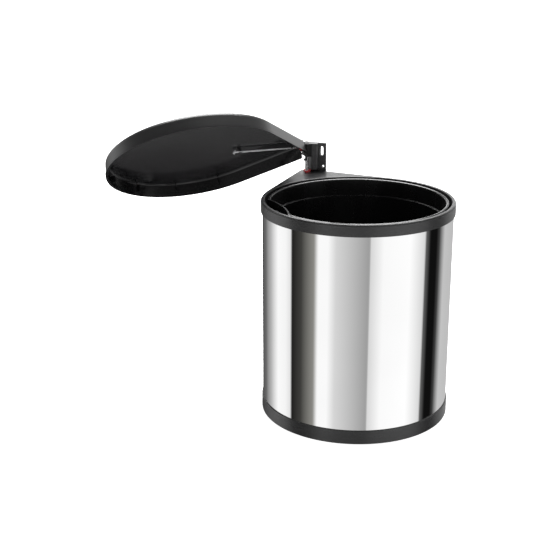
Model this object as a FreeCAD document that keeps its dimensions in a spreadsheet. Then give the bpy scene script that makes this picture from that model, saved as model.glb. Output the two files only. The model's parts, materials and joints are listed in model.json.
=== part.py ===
import FreeCAD, Part
import math
import os
import Sketcher

# A round steel trash can that swings out of a cabinet on a wall bracket, with a lid that rolls up.
# Millimetres. Origin on the can's axis at its foot, +Z up, +Y into the cabinet wall.
# The can is drawn swung out and the lid up, as in the photo.

SIZES = [
    ("swing_angle", 92, "how far the can swings between shut and open, degrees"),
    ("lid_lift", 35, "how far the lid rolls up, degrees"),
    ("neck_length", 48, "edge of the collar to the pivot pin"),
    ("wall_gap", 15, "pivot pin to the cabinet wall"),
    ("bin_height", 324, "foot to the top of the collar"),
    ("bin_radius", 140, "outside of collar and base"),
    ("band_wall", 1.4, "collar and base, step out past the steel"),
    ("shell_wall", 0.6, "steel thickness"),
    ("grip_gap", 0.1, "play of the steel in its grooves"),
    ("collar_height", 17, "collar's outer band"),
    ("collar_land", 4.6, "collar's flat top, width"),
    ("collar_lip", 2, "collar's inner lip, thickness"),
    ("lip_drop", 7, "how far the inner lip hangs below the band"),
    ("collar_web", 2.4, "collar's flat top, thickness"),
    ("collar_round", 1.2, "rounding of the collar's outer edge"),
    ("bore_round", 1, "rounding of the collar's inner edge"),
    ("neck_radius", 12, "round end of the neck"),
    ("neck_wall", 2.2, "side wall of the hollow neck"),
    ("neck_ring", 2.4, "wall between the steel and the hollow neck"),
    ("hub_length", 24, "hub, down from the collar's top"),
    ("hub_wall", 3.5, "hub round the bush"),
    ("rib_wall", 2, "ribs in the neck"),
    ("rib_turn", 24, "ribs, angle off the neck's centre line"),
    ("base_height", 21, "base band"),
    ("base_floor", 3, "base thickness"),
    ("base_lip", 13, "height of the base's inner lip"),
    ("base_round", 1.5, "rounding of the base's edges"),
    ("rim_sink", 1.5, "bucket's rim, below the collar's top"),
    ("bucket_wall", 1.6, "bucket wall"),
    ("rim_gap", 4.2, "bucket's rim to the collar"),
    ("rim_width", 4.5, "bucket's rim, width"),
    ("rim_drop", 7, "rim's turned-down edge"),
    ("rim_flat", 0.5, "flat left between the roundings of the rim"),
    ("step_depth", 25.5, "step inside the bucket, below the rim"),
    ("step_rise", 1, "slope of the step, height"),
    ("step_width", 2.5, "slope of the step, width"),
    ("rim_lean", 1, "bucket's lean from the rim to the step"),
    ("bucket_lean", 14, "bucket's lean from the step to the foot"),
    ("foot_round", 6, "slope at the bucket's foot"),
    ("scoop_depth", 15.2, "finger scoop, depth from the rim's edge"),
    ("scoop_radius", 150, "finger scoop, curve of its wall"),
    ("scoop_wall", 2.2, "finger scoop, wall thickness"),
    ("scoop_turn", 87, "scoop's place, degrees from the neck"),
    ("pin_radius", 3, "pivot pin"),
    ("pin_sink", 0.9, "top of the pin, below the bracket's top"),
    ("pin_tail", 3.4, "pin below the lower arm"),
    ("run_gap", 0.05, "radial play of turning fits"),
    ("seat_gap", 0.1, "play of parts that sit together"),
    ("bush_wall", 2, "red bush, sleeve thickness"),
    ("flange_lip", 0.8, "red bush, flange past the sleeve"),
    ("ear_half", 2.8, "red bush, half width of the ear round the peg"),
    ("flange_wall", 2.4, "red bush, flange thickness"),
    ("cross_radius", 1.2, "cross pin"),
    ("cross_rise", 4, "cross pin, above the hub's foot"),
    ("clip_wall", 1, "retaining rings, thickness"),
    ("clip_grow", 2.2, "retaining rings, width beyond the groove"),
    ("groove_depth", 0.5, "retaining grooves"),
    ("plate_wall", 2.5, "wall plate"),
    ("ear_width", 11.5, "housing's ear, along the wall"),
    ("bracket_rise", 44.5, "top of the bracket, above the collar"),
    ("arm_wall", 3, "lower arm, thickness"),
    ("arm_rim", 6, "lower arm round the pin"),
    ("washer_rim", 4.5, "thrust washer round the pin"),
    ("washer_wall", 2.9, "thrust washer, thickness"),
    ("housing_gap", 1, "housing's underside, above the bush's flange"),
    ("face_reach", 5, "pivot pin to the housing's face"),
    ("nose_side", 8.3, "housing nose, near corner along the wall"),
    ("nose_width", 7.2, "housing nose, width along the wall"),
    ("nose_depth", 1.5, "housing nose, far corner off the pivot"),
    ("ear_wall", 3.5, "housing ear, thickness at the nose"),
    ("tip_wall", 1.5, "housing ear, thickness at its end"),
    ("housing_wall", 3, "housing walls"),
    ("housing_back", 4, "housing wall that takes the plate's screws"),
    ("housing_round", 1.5, "housing, rounded upright edges"),
    ("slot_inset", 5, "slot, along the wall from the nose"),
    ("slot_width", 5.5, "slot width"),
    ("slot_sink", 5, "slot, upper end below the bracket's top"),
    ("slot_length", 15, "slot length"),
    ("hole_inset", 4.3, "screw hole, from the ear's end"),
    ("hole_rise", 4.1, "screw hole, above the housing's underside"),
    ("hole_radius", 2.1, "screw hole"),
    ("block_front", 4.4, "axle block, front face off the pivot"),
    ("block_end", 4.5, "axle block, end beyond the axle"),
    ("block_near", 6.8, "axle block, end on the near side"),
    ("block_height", 20.3, "axle block, height"),
    ("block_round", 3, "axle block, rounded front edges"),
    ("axle_side", -9.5, "axle, sideways from the pivot"),
    ("axle_sink", 7.5, "axle, below the bracket's top"),
    ("axle_radius", 1.6, "lid axle"),
    ("axle_end", 0.2, "axle, length beyond its ring"),
    ("ring_gap", 0.25, "room round the axle's ring"),
    ("axle_ring", 2.4, "axle's ring and washer, outside radius"),
    ("axle_washer_wall", 0.8, "axle's washer, thickness"),
    ("axle_reach", 117, "axle, pivot to the T end"),
    ("tee_half", 5.2, "half length of the T end"),
    ("lid_margin", 3, "lid's round end, inside the can's outline"),
    ("lid_shift", 3, "lid's round end, back from the can's axis"),
    ("lid_side", 7.1, "lid's centre line, sideways from the axle"),
    ("tip_reach", 10.5, "pivot to the middle of the lid's pointed end"),
    ("tip_radius", 12, "lid, round of its pointed end"),
    ("lid_drop", 17.2, "axle to the lid's rim"),
    ("lid_depth", 24, "lid, rim to top"),
    ("lid_wall", 2.3, "lid thickness"),
    ("lid_draft", 3, "lean of the lid's skirt, degrees"),
    ("lid_round", 7, "rounding of the lid's top edge"),
    ("bead_wall", 1.2, "bead round the lid's rim, thickness"),
    ("bead_height", 3, "bead round the lid's rim, height"),
    ("end_wall", 2, "lid's end wall"),
    ("end_drop", 7.5, "end wall, depth below the axle"),
    ("gusset_wall", 1.6, "gussets in the lid, thickness"),
    ("gusset_reach", 5, "gussets in the lid, length"),
    ("gusset_step", 30, "gussets, degrees apart"),
    ("gusset_rise", 6, "gussets, height of their foot over the rim"),
    ("end_half", 9.2, "end wall, half width"),
    ("lever_gap", 0.5, "axle block to the lever"),
    ("lever_wall", 2.4, "lever plate"),
    ("hub_round", 3.9, "lever, round the axle"),
    ("nose_radius", 2, "lever's nose"),
    ("nose_y", 8.7, "lever's nose, sideways from the axle"),
    ("nose_z", -25, "lever's nose, below the axle"),
    ("nose_length", 5, "lever's nose, along the axle"),
    ("peg_radius", 1.5, "lift peg"),
    ("peg_reach", 9, "pivot to the lift peg"),
    ("peg_turn", 15.6, "lift peg's lead, degrees"),
    ("peg_sink", 13.6, "top of the lift peg, below the axle"),
    ("peg_root", 12, "lift peg, length in the neck"),
    ("boss_radius", 3.2, "bosses in the neck"),
    ("neck_plate_wall", 2, "steel plate under the neck"),
    ("saddle_inset", 11, "rod's saddle, back from the T end"),
    ("saddle_length", 4.5, "rod's saddle, along the rod"),
    ("saddle_half", 5, "rod's saddle, half width"),
    ("saddle_wall", 1.5, "rod's saddle, under the rod"),
    ("lever_screw_near", 6, "lever screw, sideways from the axle"),
    ("lever_screw_far", 12, "lever screw, sideways from the axle"),
    ("lever_screw_drop", 2.5, "lever screws, below the axle"),
    ("ear_edge", 15, "lever's ear, end sideways from the axle"),
    ("arm_width", 4, "lever's arm, width under the ear"),
    ("block_screw_side", -6, "block screws, sideways from the pivot"),
    ("block_screw_sink", 4.2, "upper block screw, below the axle"),
    ("block_screw_step", 6, "block screws, distance apart"),
    ("wall_screw_edge", 6.6, "housing screws, from its top and underside"),
    ("screw_radius", 1.2, "small screws"),
    ("head_radius", 2.3, "small screws, head"),
    ("head_height", 1.4, "small screws, head"),
    ("screw_length", 5, "small screws, length under the head"),
]

doc = FreeCAD.newDocument("swing_out_bin")
sheet = doc.addObject("Spreadsheet::Sheet", "Sizes")
for row, (alias, number, note) in enumerate(SIZES, start=1):
    sheet.set("A%d" % row, note)
    sheet.set("B%d" % row, str(number))
    sheet.setAlias("B%d" % row, alias)
doc.recompute()


class Size:
    """A length or angle: its present value, and the formula that ties it to the sheet."""

    def __init__(self, value, formula):
        self.value = float(value)
        self.formula = formula

    def joined(self, other, sign, value):
        return Size(value, "(%s %s %s)" % (self.formula, sign, as_size(other).formula))

    def __add__(self, other):
        return self.joined(other, "+", self.value + as_size(other).value)

    def __sub__(self, other):
        return self.joined(other, "-", self.value - as_size(other).value)

    def __mul__(self, other):
        return self.joined(other, "*", self.value * as_size(other).value)

    def __truediv__(self, other):
        return self.joined(other, "/", self.value / as_size(other).value)

    def __neg__(self):
        return Size(-self.value, "(0 - %s)" % self.formula)


def as_size(item):
    if isinstance(item, Size):
        return item
    return Size(item, repr(float(item)))


def cosine(angle):
    return Size(math.cos(math.radians(angle.value)), "cos(%s)" % angle.formula)


def root(size):
    return Size(math.sqrt(size.value), "sqrt(%s)" % size.formula)


def sine(angle):
    return Size(math.sin(math.radians(angle.value)), "sin(%s)" % angle.formula)


class Sizes:
    """The sheet's cells by name, and what follows from them."""


s = Sizes()
for alias, number, note in SIZES:
    setattr(s, alias, Size(sheet.get(alias), "Sizes." + alias))

# Places and radii that follow from those sizes, outside to inside and from the foot up.
s.pivot_reach = s.bin_radius + s.neck_length
s.shell_radius = s.bin_radius - s.band_wall
s.collar_bore = s.bin_radius - s.collar_land
s.rim_outer = s.collar_bore - s.rim_gap
s.rim_inner = s.rim_outer - s.rim_width
s.rim_round = (s.rim_width - s.rim_flat) / 2
s.step_bore = s.rim_inner - s.rim_lean - s.step_width
s.step_radius = s.step_bore + s.bucket_wall
s.bucket_foot = s.step_radius - s.bucket_lean
s.bucket_top = s.bin_height - s.rim_sink
s.step_height = s.bucket_top - s.step_depth
s.scoop_reach = s.rim_outer - s.scoop_depth
s.bush_radius = s.pin_radius + s.bush_wall
s.bush_flange = s.bush_radius + s.flange_lip
s.hub_radius = s.bush_radius + s.hub_wall
s.boss_reach = (s.pivot_reach - s.shell_radius - s.neck_ring + s.hub_radius) / 2
s.washer_radius = s.pin_radius + s.washer_rim
s.arm_radius = s.pin_radius + s.arm_rim
s.neck_bottom = s.bin_height - s.hub_length
s.arm_bottom = s.neck_bottom - s.seat_gap - s.washer_wall - s.arm_wall
s.pin_bottom = s.arm_bottom - s.pin_tail
s.cross_height = s.neck_bottom + s.cross_rise
s.bracket_top = s.bin_height + s.bracket_rise
s.pin_top = s.bracket_top - s.pin_sink
s.housing_bottom = s.bin_height + s.flange_wall + s.housing_gap
s.nose_end = s.nose_side + s.nose_width
s.plate_right = s.nose_end + s.ear_width
s.ear_depth = s.wall_gap - s.plate_wall - s.ear_wall
s.ear_tip = s.wall_gap - s.plate_wall - s.tip_wall
s.slot_place = s.nose_end + s.slot_inset
s.slot_high = s.bracket_top - s.slot_sink
s.slot_low = s.slot_high - s.slot_length
s.hole_place = s.plate_right - s.hole_inset
s.hole_height = s.housing_bottom + s.hole_rise
s.wall_screw_low = s.housing_bottom + s.wall_screw_edge
s.wall_screw_high = s.bracket_top - s.wall_screw_edge
s.axle_height = s.bracket_top - s.axle_sink
s.axle_tail = s.face_reach - s.axle_end
s.axle_seat = s.axle_tail - s.axle_end - s.clip_wall - s.axle_washer_wall - s.seat_gap * 2
s.recess_radius = s.axle_ring + s.ring_gap
s.block_far = s.block_end - s.axle_side
s.block_bottom = s.bracket_top - s.block_height
s.block_screw_high = s.axle_height - s.block_screw_sink
s.block_screw_low = s.block_screw_high - s.block_screw_step
s.peg_top = s.axle_height - s.peg_sink
s.lever_start = s.block_front + s.lever_gap
s.tip_cut = s.lever_start + s.lever_wall + s.seat_gap
s.lid_radius = s.bin_radius - s.lid_margin
s.lid_reach = s.pivot_reach - s.lid_shift
s.lid_span = s.lid_reach - s.tip_reach
s.saddle_place = s.axle_reach - s.saddle_inset


def bind(item, name, size):
    """Ties a property to the sheet."""
    item.setExpression(name, as_size(size).formula)


def new_body(label):
    body = doc.addObject("PartDesign::Body", label)
    body.Label = label
    return body


def new_sketch(body, name, plane, lift=0):
    """A sketch on one of the body's own planes, moved along the plane's normal."""
    sketch = body.newObject("Sketcher::SketchObject", name)
    support = [item for item in body.Origin.OriginFeatures if item.Role == plane][0]
    sketch.AttachmentSupport = [(support, "")]
    sketch.MapMode = "FlatFace"
    bind(sketch, "AttachmentOffset.Base.z", lift)
    return sketch


def vector(x, y):
    return FreeCAD.Vector(as_size(x).value, as_size(y).value, 0)


def fix_point(sketch, shape, end, x, y):
    """Holds one point of a sketch at a place tied to the sheet."""
    for kind, size in (("DistanceX", as_size(x)), ("DistanceY", as_size(y))):
        if size.value == 0:
            axis = -2 if kind == "DistanceX" else -1
            sketch.addConstraint(Sketcher.Constraint("PointOnObject", shape, end, axis))
            continue
        rule = sketch.addConstraint(Sketcher.Constraint(kind, -1, 1, shape, end, size.value))
        sketch.setExpression("Constraints[%d]" % rule, size.formula)


def fix_radius(sketch, shape, size):
    rule = sketch.addConstraint(Sketcher.Constraint("Radius", shape, size.value))
    sketch.setExpression("Constraints[%d]" % rule, size.formula)


def draw_polygon(sketch, points):
    first = sketch.GeometryCount
    count = len(points)
    for index in range(count):
        here = vector(*points[index])
        there = vector(*points[(index + 1) % count])
        sketch.addGeometry(Part.LineSegment(here, there))
    for index in range(count):
        after = first + (index + 1) % count
        sketch.addConstraint(Sketcher.Constraint("Coincident", first + index, 2, after, 1))
    for index in range(count):
        fix_point(sketch, first + index, 1, *points[index])


def draw_circle(sketch, x, y, radius):
    shape = sketch.addGeometry(Part.Circle(vector(x, y), FreeCAD.Vector(0, 0, 1), as_size(radius).value))
    fix_point(sketch, shape, 3, x, y)
    fix_radius(sketch, shape, as_size(radius))


def draw_drop(sketch, x, y, big, small, span):
    """Two round ends of different size, joined by straight sides that touch both."""
    lean = math.acos((big.value - small.value) / abs(span.value))
    middle = vector(x, y)
    tip = middle + FreeCAD.Vector(span.value, 0, 0)
    up = FreeCAD.Vector(0, 0, 1)
    turn = 0 if span.value > 0 else math.pi
    near, far = turn + lean, turn - lean
    round_end = Part.ArcOfCircle(Part.Circle(middle, up, big.value), near, far + 2 * math.pi)
    small_end = Part.ArcOfCircle(Part.Circle(tip, up, small.value), far, near)
    first = sketch.GeometryCount
    sketch.addGeometry(round_end)
    sketch.addGeometry(Part.LineSegment(round_end.EndPoint, small_end.StartPoint))
    sketch.addGeometry(small_end)
    sketch.addGeometry(Part.LineSegment(small_end.EndPoint, round_end.StartPoint))
    for index in range(4):
        after = first + (index + 1) % 4
        sketch.addConstraint(Sketcher.Constraint("Tangent", first + index, 2, after, 1))
    fix_point(sketch, first, 3, x, y)
    fix_point(sketch, first + 2, 3, as_size(x) + span, y)
    fix_radius(sketch, first, big)
    fix_radius(sketch, first + 2, small)


def draw_lens(sketch, radius, far, far_radius):
    """The overlap of a disc at the origin and a second disc along +X."""
    up = FreeCAD.Vector(0, 0, 1)
    x = (far * far + radius * radius - far_radius * far_radius) / (far * 2)
    half = root(radius * radius - x * x).value
    near_turn = math.atan2(half, x.value)
    far_turn = math.atan2(half, x.value - far.value)
    near = Part.Circle(vector(0, 0), up, radius.value)
    beyond = Part.Circle(vector(far, 0), up, far_radius.value)
    sketch.addGeometry(Part.ArcOfCircle(near, -near_turn, near_turn))
    sketch.addGeometry(Part.ArcOfCircle(beyond, far_turn, 2 * math.pi - far_turn))
    sketch.addConstraint(Sketcher.Constraint("Coincident", 0, 2, 1, 1))
    sketch.addConstraint(Sketcher.Constraint("Coincident", 1, 2, 0, 1))
    sketch.addConstraint(Sketcher.Constraint("Coincident", 0, 3, -1, 1))
    fix_point(sketch, 1, 3, far, 0)
    fix_radius(sketch, 0, radius)
    fix_radius(sketch, 1, far_radius)


def draw_slot(sketch, x, low, high, half):
    """An upright slot with round ends."""
    up = FreeCAD.Vector(0, 0, 1)
    top = Part.ArcOfCircle(Part.Circle(vector(x, high - half), up, half.value), 0, math.pi)
    foot = Part.ArcOfCircle(Part.Circle(vector(x, low + half), up, half.value), math.pi, 2 * math.pi)
    sketch.addGeometry(top)
    sketch.addGeometry(Part.LineSegment(top.EndPoint, foot.StartPoint))
    sketch.addGeometry(foot)
    sketch.addGeometry(Part.LineSegment(foot.EndPoint, top.StartPoint))
    for index in range(4):
        sketch.addConstraint(Sketcher.Constraint("Tangent", index, 2, (index + 1) % 4, 1))
    fix_point(sketch, 0, 3, x, high - half)
    fix_point(sketch, 2, 3, x, low + half)
    fix_radius(sketch, 0, half)


def draw_bar(sketch, x, y, turn, start, end, half):
    """A straight bar at an angle, from one distance to another along it."""
    along, across = (cosine(turn), sine(turn)), (-sine(turn), cosine(turn))
    points = []
    for reach, side in ((start, -half), (end, -half), (end, half), (start, half)):
        points.append((as_size(x) + along[0] * reach + across[0] * side,
                       as_size(y) + along[1] * reach + across[1] * side))
    draw_polygon(sketch, points)


def add_pad(body, sketch, length, taper=0, back=False):
    pad = body.newObject("PartDesign::Pad", sketch.Name + "_pad")
    pad.Profile = sketch
    pad.Reversed = back
    bind(pad, "Length", length)
    bind(pad, "TaperAngle", taper)
    doc.recompute()
    return pad


def add_pocket(body, sketch, length, taper=0, back=False):
    pocket = body.newObject("PartDesign::Pocket", sketch.Name + "_pocket")
    pocket.Profile = sketch
    pocket.Reversed = back
    bind(pocket, "Length", length)
    bind(pocket, "TaperAngle", taper)
    before = body.Shape.Volume
    doc.recompute()
    if body.Shape.Volume > before - 0.01:
        raise ValueError("nothing cut by " + pocket.Name)
    return pocket


def add_turning(body, points, name):
    """A full turn of a profile drawn as radius and height."""
    sketch = new_sketch(body, name, "XZ_Plane")
    draw_polygon(sketch, points)
    turning = body.newObject("PartDesign::Revolution", name + "_turn")
    turning.Profile = sketch
    turning.ReferenceAxis = (sketch, ["V_Axis"])
    turning.Angle = 360
    doc.recompute()
    return turning


def add_fillet(body, feature, radius, wanted):
    """Rounds the edges that a test picks."""
    names = ["Edge%d" % (n + 1) for n, edge in enumerate(feature.Shape.Edges) if wanted(edge)]
    fillet = body.newObject("PartDesign::Fillet", feature.Name + "_round")
    fillet.Base = (feature, names)
    bind(fillet, "Radius", radius)
    doc.recompute()
    return fillet


def level_edge(height):
    """A test for edges that lie flat at one height."""
    def test(edge):
        box = edge.BoundBox
        return abs(box.ZMin - height) < 0.001 and abs(box.ZMax - height) < 0.001
    return test


def cylinder(name, radius, height, x=0, y=0, z=0, along=None):
    """A Part cylinder that starts at a point and runs along +Z, +X or +Y."""
    solid = doc.addObject("Part::Cylinder", name)
    bind(solid, "Radius", radius)
    bind(solid, "Height", height)
    if along is not None:
        turned = FreeCAD.Rotation(FreeCAD.Vector(0, 0, 1), along)
        solid.Placement = FreeCAD.Placement(FreeCAD.Vector(), turned)
    for axis, size in (("x", x), ("y", y), ("z", z)):
        bind(solid, "Placement.Base." + axis, size)
    return solid


def box(name, length, width, height, x, y, z):
    solid = doc.addObject("Part::Box", name)
    for prop, size in (("Length", length), ("Width", width), ("Height", height)):
        bind(solid, prop, size)
    for axis, size in (("x", x), ("y", y), ("z", z)):
        bind(solid, "Placement.Base." + axis, size)
    return solid


def fused(label, solids):
    joined = doc.addObject("Part::MultiFuse", label)
    joined.Label = label
    joined.Shapes = solids
    return joined


def grouped(label, solids):
    group = doc.addObject("Part::Compound", label)
    group.Label = label
    group.Links = solids
    return group


def cut(label, base, tool):
    result = doc.addObject("Part::Cut", label)
    result.Label = label
    result.Base = base
    result.Tool = tool
    return result


def ring(label, inner, outer, height, z):
    body = cylinder(label + "_disc", outer, height, 0, 0, z)
    hole = cylinder(label + "_hole", inner, height + 2, 0, 0, as_size(z) - 1)
    return cut(label, body, hole)


ALONG_X = FreeCAD.Vector(1, 0, 0)
ALONG_Y = FreeCAD.Vector(0, 1, 0)
ALONG_Z = FreeCAD.Vector(0, 0, 1)

# Frames. The neck frame has the neck along +X from the can's axis. The hinge frame has the shut
# lid along +X from the pivot pin. The lid frame is the hinge frame rolled up about the axle.
neck_turn = s.swing_angle / 2 + 90
hinge_turn = -(s.swing_angle / 2) - 90
pivot = FreeCAD.Vector(s.pivot_reach.value * cosine(neck_turn).value,
                       s.pivot_reach.value * sine(neck_turn).value, 0)
neck_frame = FreeCAD.Placement(FreeCAD.Vector(), FreeCAD.Rotation(ALONG_Z, neck_turn.value))
wall_frame = FreeCAD.Placement(pivot, FreeCAD.Rotation())
hinge_frame = FreeCAD.Placement(pivot, FreeCAD.Rotation(ALONG_Z, hinge_turn.value))
lid_roll = FreeCAD.Placement(FreeCAD.Vector(0, s.axle_side.value, s.axle_height.value),
                             FreeCAD.Rotation(ALONG_X, s.lid_lift.value))
lid_frame = hinge_frame * lid_roll

nodes = []


def keep(item, frame):
    """Sets a finished piece in its place and lists it for export."""
    doc.recompute()
    item.Placement = frame * item.Placement
    nodes.append(item)


def make_top_collar():
    """Collar and pointed neck in one moulding, hollow from below, with a groove for the steel."""
    body = new_body("top_collar")
    low = s.bin_height - s.collar_height
    shape = new_sketch(body, "collar_outline", "XY_Plane", low)
    draw_drop(shape, 0, 0, s.bin_radius, s.neck_radius, s.pivot_reach)
    solid = add_pad(body, shape, s.collar_height)
    add_fillet(body, solid, s.collar_round, level_edge(s.bin_height.value))
    hollow = new_sketch(body, "neck_hollow", "XY_Plane", low)
    draw_drop(hollow, 0, 0, s.bin_radius - s.neck_wall, s.neck_radius - s.neck_wall, s.pivot_reach)
    add_pocket(body, hollow, s.collar_height - s.collar_web, back=True)
    wall = new_sketch(body, "collar_wall", "XY_Plane", low)
    draw_circle(wall, 0, 0, s.shell_radius + s.neck_ring)
    add_pad(body, wall, s.collar_height - s.collar_web)
    make_neck_ribs(body)
    hub = new_sketch(body, "neck_hub", "XY_Plane", s.neck_bottom)
    draw_circle(hub, s.pivot_reach, 0, s.hub_radius)
    add_pad(body, hub, s.bin_height - s.neck_bottom - 1)
    lip = new_sketch(body, "collar_lip_ring", "XY_Plane", low - s.lip_drop)
    draw_circle(lip, 0, 0, s.collar_bore + s.collar_lip)
    add_pad(body, lip, s.lip_drop + 1)
    groove = new_sketch(body, "shell_groove", "XY_Plane", low)
    draw_circle(groove, 0, 0, s.shell_radius + s.grip_gap)
    draw_circle(groove, 0, 0, s.collar_bore + s.collar_lip)
    add_pocket(body, groove, s.collar_height - s.collar_web, back=True)
    bore = new_sketch(body, "collar_opening", "XY_Plane")
    draw_circle(bore, 0, 0, s.collar_bore)
    opening = add_pocket(body, bore, s.bin_height + 1, back=True)
    flat = level_edge(s.bin_height.value)

    def bore_edge(edge):
        return flat(edge) and edge.BoundBox.XMax < s.collar_bore.value + 0.01

    add_fillet(body, opening, s.bore_round, bore_edge)
    holes = new_sketch(body, "hub_bore", "XY_Plane")
    draw_circle(holes, s.pivot_reach, 0, s.bush_radius + s.seat_gap / 2)
    add_pocket(body, holes, s.bin_height + 1, back=True)
    peg = new_sketch(body, "peg_bore", "XY_Plane", s.bin_height - s.peg_root)
    draw_circle(peg, *peg_place(), s.peg_radius + s.seat_gap / 2)
    add_pocket(body, peg, s.peg_root + 1, back=True)
    for sign in (1, -1):
        hole = new_sketch(body, "boss_bore", "XY_Plane", low)
        draw_circle(hole, *boss_place(sign), s.screw_radius + s.seat_gap / 2)
        add_pocket(body, hole, s.screw_length, back=True)
    cross = new_sketch(body, "cross_bore", "XZ_Plane", -s.hub_radius - 1)
    draw_circle(cross, s.pivot_reach, s.cross_height, s.cross_radius + s.seat_gap / 2)
    add_pocket(body, cross, s.hub_radius * 2 + 2, back=True)
    keep(body, neck_frame)


def peg_angle():
    """The lift peg's bearing from the pivot in the neck frame, where it meets the lever all the way."""
    return hinge_turn + s.swing_angle / 2 + s.peg_turn - neck_turn


def peg_place():
    return s.pivot_reach + s.peg_reach * cosine(peg_angle()), s.peg_reach * sine(peg_angle())


def boss_place(sign):
    """A neck screw's place in the neck frame, on the line of a rib."""
    along = s.pivot_reach - s.boss_reach * cosine(s.rib_turn)
    return along, s.boss_reach * sine(s.rib_turn) * sign


def make_neck_ribs(body):
    """Two ribs from the hub to the ring, each with a screw boss, and the boss of the lift peg."""
    low = s.bin_height - s.collar_height
    foot = low + s.neck_plate_wall + s.seat_gap
    rise = s.bin_height - s.collar_web / 2 - foot
    for sign in (1, -1):
        rib = new_sketch(body, "neck_rib", "XY_Plane", foot)
        draw_bar(rib, s.pivot_reach, 0, s.rib_turn * sign + 180, s.hub_radius / 2,
                 s.pivot_reach - s.shell_radius + s.neck_ring, s.rib_wall / 2)
        add_pad(body, rib, rise)
        boss = new_sketch(body, "neck_boss", "XY_Plane", foot)
        draw_circle(boss, *boss_place(sign), s.boss_radius)
        add_pad(body, boss, rise)
    peg = new_sketch(body, "peg_boss", "XY_Plane", foot)
    draw_circle(peg, *peg_place(), s.boss_radius)
    add_pad(body, peg, rise)


def make_steel_shell():
    """Rolled steel tube that stands on the base and ends in the collar's groove."""
    body = new_body("steel_shell")
    inner = s.shell_radius - s.shell_wall
    top = s.bin_height - s.collar_web - s.grip_gap
    add_turning(body, [(inner, s.base_floor), (s.shell_radius, s.base_floor),
                       (s.shell_radius, top), (inner, top)], "shell_section")
    keep(body, neck_frame)


def make_base_ring():
    """Moulded base: a floor, an outer band, and a lip that holds the steel from inside."""
    body = new_body("base_ring")
    outer = s.shell_radius + s.grip_gap
    inner = s.shell_radius - s.shell_wall - s.grip_gap
    turning = add_turning(body, [
        (0, 0), (s.bin_radius, 0), (s.bin_radius, s.base_height), (outer, s.base_height),
        (outer, s.base_floor), (inner, s.base_floor), (inner, s.base_lip),
        (inner - s.collar_lip, s.base_lip), (inner - s.collar_lip, s.base_floor), (0, s.base_floor),
    ], "base_section")
    foot = add_fillet(body, turning, s.base_round, level_edge(0))
    top = level_edge(s.base_height.value)
    add_fillet(body, foot, (s.bin_radius - outer) / 3, top)
    keep(body, neck_frame)


def make_inner_bucket():
    """Lift-out bucket with a turned-down rim, a step inside, and a curved dent for the fingers."""
    body = new_body("inner_bucket")
    wall = s.bucket_wall
    foot = s.base_floor + s.foot_round
    over = s.step_height + s.step_rise
    bend = s.rim_inner - s.rim_lean
    turning = add_turning(body, [
        (0, s.base_floor), (s.bucket_foot - s.foot_round, s.base_floor), (s.bucket_foot, foot),
        (s.step_radius, s.step_height), (bend + wall, over), (s.rim_inner + wall, s.bucket_top - wall),
        (s.rim_outer - wall, s.bucket_top - wall), (s.rim_outer - wall, s.bucket_top - s.rim_drop),
        (s.rim_outer, s.bucket_top - s.rim_drop), (s.rim_outer, s.bucket_top),
        (s.rim_inner, s.bucket_top), (bend, over), (s.step_bore, s.step_height),
        (s.bucket_foot - wall, foot), (s.bucket_foot - s.foot_round, s.base_floor + wall),
        (0, s.base_floor + wall),
    ], "bucket_section")
    add_fillet(body, turning, s.rim_round, level_edge(s.bucket_top.value))
    centre = s.scoop_reach + s.scoop_radius
    inside = s.scoop_radius + s.scoop_wall
    ledge = new_sketch(body, "scoop_ledge", "XY_Plane", s.step_height)
    draw_lens(ledge, s.step_bore + wall / 2, centre, inside)
    add_pad(body, ledge, wall)
    band = new_sketch(body, "scoop_band", "XY_Plane", s.step_height + wall / 2)
    draw_lens(band, s.rim_inner + wall / 2, centre, inside)
    add_pad(body, band, s.bucket_top - s.step_height - wall / 2)
    scoop = new_sketch(body, "scoop_cut", "XY_Plane", s.step_height + wall)
    draw_circle(scoop, centre, 0, s.scoop_radius)
    add_pocket(body, scoop, s.bucket_top - s.step_height, back=True)
    turn = FreeCAD.Placement(FreeCAD.Vector(), FreeCAD.Rotation(ALONG_Z, s.scoop_turn.value))
    keep(body, neck_frame * turn)


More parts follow.
